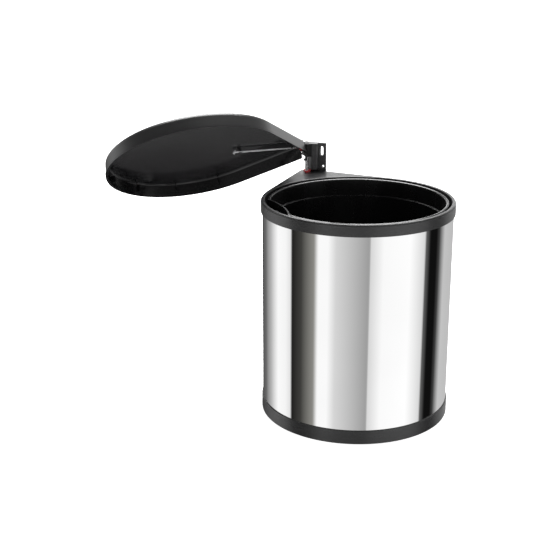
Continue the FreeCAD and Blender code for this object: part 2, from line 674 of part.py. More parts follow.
def make_pin_parts():
    """Pivot pin, red bush, cross pin, ring, peg and washer: the can's hinge."""
    frame = FreeCAD.Placement(pivot, FreeCAD.Rotation(ALONG_Z, neck_turn.value))
    pin = new_body("pivot_pin")
    groove = s.pin_radius - s.groove_depth
    ring_top = s.arm_bottom - s.seat_gap
    ring_low = ring_top - s.clip_wall
    add_turning(pin, [
        (0, s.pin_bottom), (s.pin_radius, s.pin_bottom), (s.pin_radius, ring_low - s.seat_gap / 2),
        (groove, ring_low - s.seat_gap / 2), (groove, ring_top + s.seat_gap / 2),
        (s.pin_radius, ring_top + s.seat_gap / 2), (s.pin_radius, s.pin_top - s.groove_depth),
        (groove, s.pin_top), (0, s.pin_top),
    ], "pin_section")
    cross_hole(pin)
    keep(pin, frame)
    bush = new_body("pivot_bush")
    inner = s.pin_radius + s.seat_gap / 2
    add_turning(bush, [
        (inner, s.neck_bottom), (s.bush_radius, s.neck_bottom), (s.bush_radius, s.bin_height),
        (s.bush_flange, s.bin_height), (s.bush_flange, s.bin_height + s.flange_wall),
        (inner, s.bin_height + s.flange_wall),
    ], "bush_section")
    ear = new_sketch(bush, "bush_ear", "XY_Plane", s.bin_height)
    draw_bar(ear, 0, 0, peg_angle(), s.bush_radius, s.peg_reach, s.ear_half)
    add_pad(bush, ear, s.flange_wall)
    tip = new_sketch(bush, "ear_end", "XY_Plane", s.bin_height)
    spot = s.peg_reach * cosine(peg_angle()), s.peg_reach * sine(peg_angle())
    draw_circle(tip, *spot, s.ear_half)
    add_pad(bush, tip, s.flange_wall)
    hole = new_sketch(bush, "ear_hole", "XY_Plane", s.bin_height)
    draw_circle(hole, *spot, s.peg_radius + s.seat_gap / 2)
    add_pocket(bush, hole, s.flange_wall, back=True)
    cross_hole(bush)
    keep(bush, frame)
    cross = cylinder("cross_rod", s.cross_radius, s.hub_radius * 2 - s.seat_gap * 4, 0,
                     -s.hub_radius + s.seat_gap * 2, s.cross_height, ALONG_Y)
    keep(grouped("cross_pin", [cross]), frame)
    keep(ring("pin_clip", groove + s.seat_gap / 2, groove + s.clip_grow, s.clip_wall, ring_low), frame)
    peg = new_body("lift_peg")
    root_z = s.bin_height - s.peg_root
    add_turning(peg, [
        (0, root_z), (s.peg_radius, root_z), (s.peg_radius, s.peg_top - s.peg_radius / 2),
        (s.peg_radius / 2, s.peg_top), (0, s.peg_top),
    ], "peg_section")
    place = peg_place()
    spot = FreeCAD.Placement(FreeCAD.Vector(place[0].value, place[1].value, 0), FreeCAD.Rotation())
    keep(peg, neck_frame * spot)
    arm_top = s.arm_bottom + s.arm_wall
    washer = ring("thrust_washer", s.pin_radius + s.seat_gap, s.washer_radius, s.washer_wall, arm_top)
    keep(washer, wall_frame)


def cross_hole(body):
    hole = new_sketch(body, "cross_hole", "XZ_Plane", -s.hub_radius)
    draw_circle(hole, 0, s.cross_height, s.cross_radius + s.seat_gap / 2)
    add_pocket(body, hole, s.hub_radius * 2, back=True)


def make_neck_plate():
    """Steel plate that closes and stiffens the hollow neck, and its two screws."""
    body = new_body("neck_plate")
    low = s.bin_height - s.collar_height
    inset = s.neck_wall + s.seat_gap
    shape = new_sketch(body, "plate_outline", "XY_Plane", low)
    draw_drop(shape, 0, 0, s.bin_radius - inset, s.neck_radius - inset, s.pivot_reach)
    add_pad(body, shape, s.neck_plate_wall)
    for name, x, y, radius in (
            ("plate_ring", as_size(0), as_size(0), s.shell_radius + s.neck_ring + s.seat_gap),
            ("plate_hub", s.pivot_reach, as_size(0), s.hub_radius + s.seat_gap),
            ("plate_hole", *boss_place(1), s.screw_radius + s.seat_gap / 2),
            ("plate_hole", *boss_place(-1), s.screw_radius + s.seat_gap / 2)):
        hole = new_sketch(body, name, "XY_Plane", low)
        draw_circle(hole, x, y, radius)
        add_pocket(body, hole, s.neck_plate_wall, back=True)
    keep(body, neck_frame)
    screws = []
    for sign in (1, -1):
        x, y = boss_place(sign)
        head = cylinder("neck_screw_head", s.head_radius, s.head_height, x, y, low - s.head_height)
        shank = cylinder("neck_screw_shank", s.screw_radius, s.screw_length, x, y, low - s.head_height / 2)
        screws.append(fused("neck_screw", [head, shank]))
    keep(grouped("neck_screws", screws), neck_frame)


def wall_cuts(body):
    """The slot and the screw hole, cut straight through towards the wall."""
    slot = new_sketch(body, "wall_slot", "XZ_Plane", -s.wall_gap - 1)
    draw_slot(slot, s.slot_place, s.slot_low, s.slot_high, s.slot_width / 2)
    add_pocket(body, slot, s.wall_gap + 1, back=True)
    hole = new_sketch(body, "wall_hole", "XZ_Plane", -s.wall_gap - 1)
    draw_circle(hole, s.hole_place, s.hole_height, s.hole_radius)
    add_pocket(body, hole, s.wall_gap + 1, back=True)


def make_wall_plate():
    """Steel plate on the cabinet wall, with the arm that carries the can's hinge."""
    body = new_body("wall_plate")
    front = s.wall_gap - s.plate_wall
    upright = new_sketch(body, "plate_section", "XY_Plane", s.arm_bottom)
    draw_polygon(upright, [(-s.arm_radius, front), (s.plate_right, front),
                           (s.plate_right, s.wall_gap), (-s.arm_radius, s.wall_gap)])
    add_pad(body, upright, s.bracket_top - s.arm_bottom)
    arm = new_sketch(body, "arm_outline", "XY_Plane", s.arm_bottom)
    draw_polygon(arm, [(-s.arm_radius, 0), (s.arm_radius, 0), (s.arm_radius, s.wall_gap),
                       (-s.arm_radius, s.wall_gap)])
    add_pad(body, arm, s.arm_wall)
    tip = new_sketch(body, "arm_end", "XY_Plane", s.arm_bottom)
    draw_circle(tip, 0, 0, s.arm_radius)
    add_pad(body, tip, s.arm_wall)
    bore = new_sketch(body, "arm_bore", "XY_Plane", s.arm_bottom)
    draw_circle(bore, 0, 0, s.pin_radius + s.run_gap)
    add_pocket(body, bore, s.arm_wall, back=True)
    wall_cuts(body)
    for height in (s.wall_screw_low, s.wall_screw_high):
        hole = new_sketch(body, "screw_hole", "XZ_Plane", -s.wall_gap - 1)
        draw_circle(hole, s.nose_end - s.housing_back / 2, height, s.screw_radius + s.seat_gap / 2)
        add_pocket(body, hole, s.plate_wall + 2, back=True)
        seat = new_sketch(body, "screw_seat", "XZ_Plane", -s.wall_gap)
        draw_circle(seat, s.nose_end - s.housing_back / 2, height, s.head_radius + s.seat_gap)
        add_pocket(body, seat, s.head_height + s.seat_gap, back=True)
    keep(body, wall_frame)
    screws = []
    for height in (s.wall_screw_low, s.wall_screw_high):
        x = s.nose_end - s.housing_back / 2
        head_y = s.wall_gap - s.head_height - s.seat_gap
        head = cylinder("housing_screw_head", s.head_radius, s.head_height, x, head_y, height, ALONG_Y)
        shank = cylinder("housing_screw_shank", s.screw_radius, s.screw_length, x,
                         head_y - s.screw_length + s.head_height / 2, height, ALONG_Y)
        screws.append(fused("housing_screw", [head, shank]))
    keep(grouped("housing_screws", screws), wall_frame)


def face_line(depth, y):
    """Where a plane square to the shut lid meets a line along the wall."""
    return (-depth - y * sine(hinge_turn)) / cosine(hinge_turn)


def make_hinge_housing():
    """Dark cast housing on the plate, hollow inside, with the slot and screw hole in its ear."""
    body = new_body("hinge_housing")
    back = s.wall_gap - s.plate_wall
    nose_front = (-s.face_reach - s.nose_side * cosine(hinge_turn)) / sine(hinge_turn)
    shape = new_sketch(body, "housing_outline", "XY_Plane", s.housing_bottom)
    draw_polygon(shape, [
        (face_line(s.face_reach, back), back), (s.nose_side, nose_front), (s.nose_end, s.nose_depth),
        (s.nose_end, s.ear_depth), (s.plate_right, s.ear_tip), (s.plate_right, back),
    ])
    solid = add_pad(body, shape, s.bracket_top - s.housing_bottom)
    nose = (s.nose_side.value, s.nose_end.value)

    def nose_edge(edge):
        flat = edge.BoundBox
        upright = flat.ZLength > 1 and flat.XLength < 0.001 and flat.YLength < 0.001
        between = nose[0] - 0.01 < flat.XMax < nose[1] + 0.01
        return upright and between and flat.YMax < s.nose_depth.value + 0.01

    add_fillet(body, solid, s.housing_round, nose_edge)
    deep = s.face_reach + s.housing_wall
    front = s.nose_depth + s.housing_wall
    hollow = new_sketch(body, "housing_hollow", "XY_Plane", s.housing_bottom + s.housing_wall)
    side = s.nose_end - s.housing_back
    draw_polygon(hollow, [(face_line(deep, back), back), (face_line(deep, front), front),
                          (side, front), (side, back)])
    add_pocket(body, hollow, s.bracket_top - s.housing_bottom - s.housing_wall * 2, back=True)
    wall_cuts(body)
    for height in (s.wall_screw_low, s.wall_screw_high):
        hole = new_sketch(body, "screw_hole", "XZ_Plane", -back)
        draw_circle(hole, s.nose_end - s.housing_back / 2, height, s.screw_radius + s.seat_gap / 2)
        add_pocket(body, hole, s.screw_length, back=True)
    doc.recompute()
    bores = []
    for height in (s.block_screw_low, s.block_screw_high):
        bores.append(cylinder("housing_bore", s.screw_radius + s.seat_gap / 2, s.housing_wall + 2,
                              -deep - 1, s.block_screw_side, height, ALONG_X))
    tool = fused("housing_bores", bores)
    doc.recompute()
    tool.Placement = FreeCAD.Placement(FreeCAD.Vector(), FreeCAD.Rotation(ALONG_Z, hinge_turn.value))
    body.Label = "housing_casting"
    keep(cut("hinge_housing", body, tool), wall_frame)


def make_axle_block():
    """Dark block on the housing's face: upper bearing of the pin and bearing of the lid's axle."""
    body = new_body("axle_block")
    back = -s.face_reach
    shape = new_sketch(body, "block_outline", "XY_Plane", s.block_bottom)
    draw_polygon(shape, [(back, s.block_near), (back, -s.block_far + 2), (back + 2, -s.block_far),
                         (s.block_front, -s.block_far), (s.block_front, s.block_near)])
    solid = add_pad(body, shape, s.bracket_top - s.block_bottom)

    def front_edge(edge):
        flat = edge.BoundBox
        return flat.ZLength > 1 and flat.XMin > s.block_front.value - 0.01

    add_fillet(body, solid, s.block_round / 2, front_edge)
    pin = new_sketch(body, "pin_bore", "XY_Plane", s.block_bottom)
    draw_circle(pin, 0, 0, s.pin_radius + s.run_gap)
    add_pocket(body, pin, s.bracket_top - s.block_bottom, back=True)
    axle = new_sketch(body, "axle_bore", "YZ_Plane", back)
    draw_circle(axle, s.axle_side, s.axle_height, s.axle_radius + s.run_gap)
    add_pocket(body, axle, s.face_reach + s.block_front, back=True)
    recess = new_sketch(body, "axle_recess", "YZ_Plane", back)
    draw_circle(recess, s.axle_side, s.axle_height, s.recess_radius)
    add_pocket(body, recess, s.face_reach - s.axle_seat, back=True)
    for height in (s.block_screw_low, s.block_screw_high):
        hole = new_sketch(body, "block_hole", "YZ_Plane", back)
        draw_circle(hole, s.block_screw_side, height, s.screw_radius + s.seat_gap / 2)
        add_pocket(body, hole, s.screw_length, back=True)
    keep(body, hinge_frame)
    screws = []
    deep = s.face_reach + s.housing_wall
    for height in (s.block_screw_low, s.block_screw_high):
        head = cylinder("block_screw_head", s.head_radius, s.head_height, -deep - s.head_height,
                        s.block_screw_side, height, ALONG_X)
        shank = cylinder("block_screw_shank", s.screw_radius, s.screw_length + s.head_height / 2,
                         -deep - s.head_height / 2, s.block_screw_side, height, ALONG_X)
        screws.append(fused("block_screw", [head, shank]))
    keep(grouped("block_screws", screws), hinge_frame)


def make_lid_shell():
    """Drop-shaped lid: a plate with a leaning skirt, a bead round the rim and gussets inside."""
    body = new_body("lid_shell")
    rim = -s.lid_drop
    span = -s.lid_span
    bead = new_sketch(body, "lid_bead", "XY_Plane", rim)
    draw_drop(bead, s.lid_reach, s.lid_side, s.lid_radius, s.tip_radius, span)
    add_pad(body, bead, s.bead_height)
    skin = new_sketch(body, "lid_skin", "XY_Plane", rim)
    draw_drop(skin, s.lid_reach, s.lid_side, s.lid_radius - s.bead_wall, s.tip_radius - s.bead_wall, span)
    solid = add_pad(body, skin, s.lid_depth, taper=-s.lid_draft)
    add_fillet(body, solid, s.lid_round, level_edge((s.lid_depth - s.lid_drop).value))
    inset = s.bead_wall + s.lid_wall
    under = s.lid_depth - s.lid_wall - s.lid_drop
    hollow = new_sketch(body, "lid_hollow", "XY_Plane", rim)
    draw_drop(hollow, s.lid_reach, s.lid_side, s.lid_radius - inset, s.tip_radius - inset, span)
    cavity = add_pocket(body, hollow, s.lid_depth - s.lid_wall, taper=-s.lid_draft, back=True)
    add_fillet(body, cavity, s.lid_round - s.lid_wall, level_edge(under.value))
    tip = new_sketch(body, "tip_trim", "XY_Plane", rim - 1)
    wide = s.lid_radius
    draw_polygon(tip, [(-wide, -wide), (s.tip_cut, -wide), (s.tip_cut, wide), (-wide, wide)])
    add_pocket(body, tip, s.lid_depth + 2, back=True)
    end = new_sketch(body, "end_wall", "YZ_Plane", s.tip_cut)
    draw_polygon(end, [(s.lid_side - s.end_half, -s.end_drop), (s.lid_side + s.end_half, -s.end_drop),
                       (s.lid_side + s.end_half, under + s.lid_wall / 2),
                       (s.lid_side - s.end_half, under + s.lid_wall / 2)])
    add_pad(body, end, s.end_wall)
    gussets = new_sketch(body, "lid_gussets", "XY_Plane", rim + s.gusset_rise)
    outer = s.lid_radius - inset
    for step in range(-4, 5):
        draw_bar(gussets, s.lid_reach, s.lid_side, s.gusset_step * step, outer - s.gusset_reach, outer,
                 s.gusset_wall / 2)
    add_pad(body, gussets, s.lid_depth - s.lid_round - s.gusset_rise)
    holes = new_sketch(body, "end_holes", "YZ_Plane", s.tip_cut)
    draw_circle(holes, 0, 0, s.axle_radius + s.seat_gap / 2)
    for place in (s.lever_screw_near, s.lever_screw_far):
        draw_circle(holes, place, -s.lever_screw_drop, s.screw_radius + s.seat_gap / 2)
    add_pocket(body, holes, s.end_wall + 2, back=True)
    keep(body, lid_frame)


def make_lid_axle():
    """Steel rod with a T end, its saddle, and the ring and washer on its inner end."""
    clip_end = -s.axle_seat - s.seat_gap * 2 - s.axle_washer_wall
    clip_start = clip_end - s.clip_wall
    groove = s.axle_radius - s.groove_depth
    tail = cylinder("axle_tail", s.axle_radius, s.axle_tail + clip_start - s.seat_gap / 2,
                    -s.axle_tail, 0, 0, ALONG_X)
    neck = cylinder("axle_neck", groove, s.clip_wall + s.seat_gap * 2,
                    clip_start - s.seat_gap, 0, 0, ALONG_X)
    rod = cylinder("axle_rod", s.axle_radius, s.axle_reach - clip_end - s.seat_gap / 2,
                   clip_end + s.seat_gap / 2, 0, 0, ALONG_X)
    tee = cylinder("axle_tee", s.axle_radius, s.tee_half * 2, s.axle_reach, -s.tee_half, 0, ALONG_Y)
    keep(fused("lid_axle", [tail, neck, rod, tee]), lid_frame)
    sideways = lid_frame * FreeCAD.Placement(FreeCAD.Vector(), FreeCAD.Rotation(ALONG_Y, 90))
    keep(ring("axle_clip", groove + s.seat_gap / 2, s.axle_ring, s.clip_wall, clip_start), sideways)
    keep(ring("axle_washer", s.axle_radius + s.seat_gap / 2, s.axle_ring, s.axle_washer_wall,
              clip_end + s.seat_gap), sideways)
    under = s.lid_depth - s.lid_wall - s.lid_drop
    low = -s.axle_radius - s.saddle_wall
    block = box("saddle_block", s.saddle_length, s.saddle_half * 2, under - low, s.saddle_place,
                -s.saddle_half, low)
    channel = cylinder("saddle_channel", s.axle_radius + s.seat_gap / 2, s.saddle_length + 2,
                       s.saddle_place - 1, 0, 0, ALONG_X)
    keep(cut("rod_clip", block, channel), lid_frame)


def make_lid_lever():
    """Lever on the lid's end wall. The peg on the neck pushes its nose and rolls the lid up."""
    body = new_body("lid_lever")
    hub = new_sketch(body, "lever_hub", "YZ_Plane", s.lever_start)
    draw_circle(hub, 0, 0, s.hub_round)
    add_pad(body, hub, s.lever_wall)
    low = -s.lever_screw_drop - s.head_radius
    arm = new_sketch(body, "lever_arm", "YZ_Plane", s.lever_start)
    draw_polygon(arm, [(s.ear_edge - s.arm_width, low / 2), (s.nose_y, s.nose_z),
                       (s.nose_y + s.nose_radius, s.nose_z), (s.ear_edge, low / 2)])
    add_pad(body, arm, s.lever_wall)
    nose = new_sketch(body, "lever_nose", "YZ_Plane", s.lever_start)
    draw_circle(nose, s.nose_y, s.nose_z, s.nose_radius)
    add_pad(body, nose, s.nose_length)
    ear = new_sketch(body, "lever_ear", "YZ_Plane", s.lever_start)
    draw_polygon(ear, [(s.hub_round / 2, low), (s.ear_edge, low), (s.ear_edge, s.axle_radius),
                       (s.hub_round / 2, s.axle_radius)])
    add_pad(body, ear, s.lever_wall)
    holes = new_sketch(body, "lever_holes", "YZ_Plane", s.lever_start)
    draw_circle(holes, 0, 0, s.axle_radius + s.seat_gap / 2)
    for place in (s.lever_screw_near, s.lever_screw_far):
        draw_circle(holes, place, -s.lever_screw_drop, s.screw_radius + s.seat_gap / 2)
    add_pocket(body, holes, s.lever_wall, back=True)
    keep(body, lid_frame)
    screws = []
    inside = s.tip_cut + s.end_wall
    for place in (s.lever_screw_near, s.lever_screw_far):
        head = cylinder("lever_screw_head", s.head_radius, s.head_height, inside, place,
                        -s.lever_screw_drop, ALONG_X)
        shank = cylinder("lever_screw_shank", s.screw_radius, inside + s.head_height / 2 - s.lever_start,
                         s.lever_start, place, -s.lever_screw_drop, ALONG_X)
        screws.append(fused("lever_screw", [head, shank]))
    keep(grouped("lever_screws", screws), lid_frame)


def export_nodes():
    """Checks every piece and writes it to its own file."""
    doc.recompute()
    for item in doc.Objects:
        if "Invalid" in item.State or "Error" in item.State:
            raise ValueError("not built: " + item.Label)
    os.makedirs("parts", exist_ok=True)
    for item in nodes:
        if item.Shape.isNull() or not item.Shape.isValid():
            raise ValueError("bad shape: " + item.Label)
        item.Shape.exportStep(os.path.join("parts", item.Label + ".step"))
        print(item.Label, len(item.Shape.Solids), round(item.Shape.Volume))


make_wall_plate()
make_hinge_housing()
make_axle_block()
make_base_ring()
make_steel_shell()
make_top_collar()
make_neck_plate()
make_inner_bucket()
make_pin_parts()
make_lid_shell()
make_lid_axle()
make_lid_lever()
export_nodes()
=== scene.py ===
import json
import math
import bmesh
import bpy
from mathutils import Matrix, Vector


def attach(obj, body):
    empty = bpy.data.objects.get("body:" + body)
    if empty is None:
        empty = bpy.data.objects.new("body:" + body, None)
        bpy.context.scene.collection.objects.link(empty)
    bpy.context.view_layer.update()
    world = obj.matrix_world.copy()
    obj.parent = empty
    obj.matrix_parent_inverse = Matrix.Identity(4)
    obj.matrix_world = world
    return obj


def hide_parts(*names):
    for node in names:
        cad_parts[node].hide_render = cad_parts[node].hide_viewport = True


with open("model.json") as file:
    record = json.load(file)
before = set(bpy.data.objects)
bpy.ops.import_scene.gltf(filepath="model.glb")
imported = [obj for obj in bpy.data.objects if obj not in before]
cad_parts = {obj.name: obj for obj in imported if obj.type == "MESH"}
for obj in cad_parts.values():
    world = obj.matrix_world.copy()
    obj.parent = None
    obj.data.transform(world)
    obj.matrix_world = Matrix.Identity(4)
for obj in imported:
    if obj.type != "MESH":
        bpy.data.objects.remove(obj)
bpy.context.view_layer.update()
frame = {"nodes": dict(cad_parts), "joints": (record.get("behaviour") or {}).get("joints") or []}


# Wall plate and hinge housing: pressed steel sheet that hangs on the cabinet wall,
# and a dark casting screwed to it.
# Both have a thin powder coat with a fine orange peel, rubbed a little paler in places.
class Shade:
    """A socket of a material's nodes. Sums and products of sockets add Math nodes."""

    def __init__(self, tree, socket):
        self.tree = tree
        self.socket = socket

    def node(self, kind, settings=None, output=0, **sockets):
        """Adds a node. Its settings come first, then its sockets, by name or as _0, _1 by number."""
        node = self.tree.nodes.new("ShaderNode" + kind)
        for name, value in (settings or {}).items():
            if name == "stops":
                self.set_stops(node.color_ramp, value)
            else:
                setattr(node, name, value)
        for name, value in sockets.items():
            key = int(name[1:]) if name[1:].isdigit() else name.replace("_", " ")
            if isinstance(value, Shade):
                self.tree.links.new(value.socket, node.inputs[key])
            else:
                node.inputs[key].default_value = value
        return Shade(self.tree, node.outputs[output])

    @staticmethod
    def set_stops(ramp, stops):
        """Sets a ramp's stops. Each is a place with a colour, or with a number for a grey."""
        while len(ramp.elements) < len(stops):
            ramp.elements.new(1.0)
        for element, (place, colour) in zip(ramp.elements, stops):
            channels = colour if isinstance(colour, tuple) else (colour, colour, colour)
            element.position = place
            element.color = (*channels, 1.0)

    def calculate(self, operation, first, second):
        return self.node("Math", {"operation": operation}, _0=first, _1=second)

    def __add__(self, other):
        return self.calculate("ADD", self, other)

    def __sub__(self, other):
        return self.calculate("SUBTRACT", self, other)

    def __mul__(self, other):
        return self.calculate("MULTIPLY", self, other)

    def dot(self, other):
        return self.node("VectorMath", {"operation": "DOT_PRODUCT"}, 1, _0=self, _1=other)

    def ramp(self, *stops):
        return self.node("ValToRGB", {"stops": stops}, Fac=self)

    def mix(self, first, second):
        """The first field where this one is 0, and the second where it is 1."""
        return self.node("MixRGB", None, Fac=self, Color1=first, Color2=second)

    def noise(self, scale, detail=3.0, stretch=(1.0, 1.0, 1.0)):
        """Noise over a place, squeezed along each axis by the stretch."""
        spread = self.node("Mapping", None, Vector=self, Scale=stretch)
        return self.node("TexNoise", None, Vector=spread, Scale=scale, Detail=detail)

    def axis(self, number):
        return self.node("SeparateXYZ", None, number, _0=self)

    def bump(self, strength, distance):
        return self.node("Bump", None, Height=self, Strength=strength, Distance=distance)


def new_material(name, **constants):
    """A principled material, the place on its piece, and a function that feeds a socket."""
    material = bpy.data.materials.new(name)
    material.use_nodes = True
    shader = material.node_tree.nodes["Principled BSDF"]
    for socket, value in constants.items():
        shader.inputs[socket.replace("_", " ")].default_value = value
    coords = material.node_tree.nodes.new("ShaderNodeTexCoord")

    def feed(socket, field):
        material.node_tree.links.new(field.socket, shader.inputs[socket])

    return material, Shade(material.node_tree, coords.outputs["Object"]), feed


def dress(material, *names):
    """Gives CAD nodes a material."""
    for name in names:
        piece = frame["nodes"][name]
        piece.data.materials.clear()
        piece.data.materials.append(material)


coat_grey = (0.054, 0.054, 0.055)
rubbed_grey = (0.070, 0.070, 0.071)
coated, place, feed = new_material("powder_coat", Specular_IOR_Level=0.42)
peel = place.noise(scale=850.0, detail=2.0)
rubbed = place.noise(scale=55.0, detail=4.0).ramp((0.45, 0.0), (0.75, 1.0))
feed("Base Color", rubbed.ramp((0.0, coat_grey), (1.0, rubbed_grey)))
feed("Roughness", peel * 0.12 + 0.34 - rubbed * 0.1)
feed("Normal", peel.bump(strength=0.22, distance=0.0002))
dress(coated, "wall_plate", "hinge_housing")

# Axle block: black moulded bearing for the pivot pin and the lid's rod, screwed on from inside the housing.
# It is a slippery plastic with a dull gloss.
block_black = (0.0055, 0.0055, 0.006)
block_pale = (0.009, 0.009, 0.0095)
bearing, place, feed = new_material("bearing_moulding", Specular_IOR_Level=0.4)
peel = place.noise(scale=600.0, detail=2.0)
feed("Base Color", place.noise(scale=70.0).ramp((0.35, block_black), (0.65, block_pale)))
feed("Roughness", peel * 0.12 + 0.28)
feed("Normal", peel.bump(strength=0.08, distance=0.0001))
dress(bearing, "axle_block")

# Screws and rings: bright zinc plated steel. The rings snap into grooves, and the block's screws are inside.
# Two small pan heads hold the housing on the plate from behind.
# Their cross recess is pressed in cold.
zinc_dull = (0.52, 0.53, 0.55)
zinc_bright = (0.68, 0.68, 0.70)
zinc, place, feed = new_material("bright_zinc", Metallic=1.0)
cloud = place.noise(scale=900.0)
feed("Base Color", cloud.ramp((0.3, zinc_dull), (0.7, zinc_bright)))
feed("Roughness", cloud * 0.2 + 0.18)
feed("Normal", cloud.bump(strength=0.05, distance=0.00005))
dress(zinc, "block_screws", "pin_clip", "axle_clip")


def verts_of(geometry):
    """The vertices in what a bmesh operator gives back."""
    return [item for item in geometry if isinstance(item, bmesh.types.BMVert)]


def cross_screws(*spots):
    """Pan-head screws with a cross recess. Each head stands on its spot's XY plane."""
    tip_radius, thread_radius, seat_radius, head_radius = 0.0004, 0.0012, 0.0022, 0.0023
    brow_radius, crown_radius = 0.0020, 0.0015
    tip_height, taper_height = -0.0043, -0.0031
    edge_low, edge_high, brow_height, crown_height = 0.0002, 0.0007, 0.00115, 0.00137
    recess_half, recess_top, recess_depth, recess_taper = 0.00114, 0.0014, 0.0008, 0.75
    section = [(0.0, tip_height), (tip_radius, tip_height), (thread_radius, taper_height),
               (thread_radius, 0.0), (seat_radius, 0.0), (head_radius, edge_low),
               (head_radius, edge_high), (brow_radius, brow_height), (crown_radius, crown_height)]
    mesh = bmesh.new()
    corners = [mesh.verts.new((reach, 0.0, height)) for reach, height in section]
    lines = [mesh.edges.new(pair) for pair in zip(corners, corners[1:])]
    bmesh.ops.spin(mesh, geom=corners + lines, axis=(0, 0, 1), angle=2 * math.pi, steps=24, use_merge=True)
    bmesh.ops.remove_doubles(mesh, verts=mesh.verts, dist=0.00001)
    crown = [edge for edge in mesh.edges if edge.is_boundary]

    grid = bmesh.ops.create_grid(mesh, x_segments=3, y_segments=3, size=recess_half)["verts"]
    bmesh.ops.translate(mesh, verts=grid, vec=(0.0, 0.0, recess_top))
    squares = {face for vert in grid for face in vert.link_faces}
    middles = {face: face.calc_center_median() for face in squares}
    half_square = recess_half / 3
    outer = [face for face, middle in middles.items() if min(abs(middle.x), abs(middle.y)) > half_square]
    bmesh.ops.delete(mesh, geom=outer, context="FACES")
    arms = [face for face in squares if face.is_valid]
    outline = {edge for face in arms for edge in face.edges if edge.is_boundary}
    bmesh.ops.bridge_loops(mesh, edges=crown + list(outline))
    sunk = verts_of(bmesh.ops.extrude_face_region(mesh, geom=arms)["geom"])
    bmesh.ops.delete(mesh, geom=[face for face in arms if face.is_valid], context="FACES")
    bmesh.ops.scale(mesh, verts=sunk, vec=(recess_taper, recess_taper, 1.0))
    bmesh.ops.translate(mesh, verts=sunk, vec=(0.0, 0.0, -recess_depth))

    first = list(mesh.verts) + list(mesh.edges) + list(mesh.faces)
    for spot in spots[1:]:
        copied = verts_of(bmesh.ops.duplicate(mesh, geom=first)["geom"])
        bmesh.ops.transform(mesh, verts=copied, matrix=spot)
    bmesh.ops.transform(mesh, verts=verts_of(first), matrix=spots[0])
    return mesh


def add_piece(name, mesh, material, body, slot, *nodes):
    """Makes a finished bmesh an object that rides on a body and stands for CAD nodes."""
    crease = math.radians(32)
    bmesh.ops.recalc_face_normals(mesh, faces=mesh.faces)
    for face in mesh.faces:
        face.smooth = True
    for edge in mesh.edges:
        edge.smooth = len(edge.link_faces) == 2 and edge.calc_face_angle(0.0) < crease
    data = bpy.data.meshes.new(name)
    mesh.to_mesh(data)
    mesh.free()
    data.materials.append(material)
    piece = bpy.data.objects.new(name, data)
    bpy.context.scene.collection.objects.link(piece)
    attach(piece, body)
    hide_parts(*nodes)


joints = {joint["name"]: joint for joint in frame["joints"]}
pivot_x, pivot_y, _ = joints["bin_swing"]["pos_m"]
screw_aside, screw_behind, screw_heights = 0.0135, 0.0135, (0.3340, 0.3619)
facing_wall = Matrix.Rotation(math.radians(-90), 4, "X")
seats = [(pivot_x + screw_aside, pivot_y + screw_behind, height) for height in screw_heights]
screws = cross_screws(*[Matrix.Translation(seat) @ facing_wall for seat in seats])
add_piece("housing_cross_screws", screws, zinc, "bracket", "screw_steel", "housing_screws")

# Thrust washer and axle washer: pale natural nylon, a little translucent and faintly mottled.
# They are stamped from sheet and lie loose, one under the neck and one on the lid's rod.
nylon_dark = (0.58, 0.55, 0.48)
nylon_pale = (0.70, 0.67, 0.60)
nylon, place, feed = new_material("natural_nylon", Subsurface_Weight=0.2, Subsurface_Scale=0.001)
haze = place.noise(scale=320.0)
feed("Base Color", haze.ramp((0.3, nylon_dark), (0.7, nylon_pale)))
feed("Roughness", haze * 0.2 + 0.36)
dress(nylon, "thrust_washer", "axle_washer")

# Collar and base: satin dark grey mouldings that grip the ends of the steel tube.
# Their mould is spark eroded, so they have a fine grain, with faint scuffs that run round the band.
satin_grey = (0.0158, 0.0158, 0.0163)
scuffed_grey = (0.0205, 0.0205, 0.021)
satin, place, feed = new_material("satin_moulding", Specular_IOR_Level=0.5)
grain = place.noise(scale=1000.0, detail=2.0)
scuff = place.noise(scale=36.0, detail=5.0, stretch=(1.0, 1.0, 6.0)).ramp((0.5, 0.0), (0.72, 1.0))
feed("Base Color", scuff.ramp((0.0, satin_grey), (1.0, scuffed_grey)))
feed("Roughness", grain * 0.1 + 0.26 - scuff * 0.05)
feed("Normal", grain.bump(strength=0.12, distance=0.00012))
dress(satin, "top_collar", "base_ring")

# Steel shell: stainless sheet rolled to a tube and polished to a mirror.
# Its butt weld is at the back, under the neck.
# Polishing leaves hair-fine lines round the tube and a soft haze.
steel_dull = (0.81, 0.81, 0.81)
steel_bright = (0.84, 0.84, 0.84)
weld_half = 0.0012
neck_turn = math.atan2(pivot_y, pivot_x)
mirror, place, feed = new_material("mirror_sheet", Metallic=1.0)
haze = place.noise(scale=7.0, detail=2.0)
hairline = place.noise(scale=30.0, detail=2.0, stretch=(1.0, 1.0, 90.0))
beside = place.axis(0) * math.sin(neck_turn) - place.axis(1) * math.cos(neck_turn)
behind = place.axis(0) * math.cos(neck_turn) + place.axis(1) * math.sin(neck_turn)
weld = beside.calculate("ABSOLUTE", beside, 0.0).ramp((0.0, 1.0), (weld_half, 0.0))
weld = weld * behind.ramp((0.1, 0.0), (0.12, 1.0))
feed("Base Color", haze.ramp((0.3, steel_dull), (0.7, steel_bright)))
feed("Roughness", haze * 0.01 + hairline * 0.016 + 0.006 + weld * 0.15)
feed("Normal", weld.bump(strength=0.4, distance=0.0003))
dress(mirror, "steel_shell")

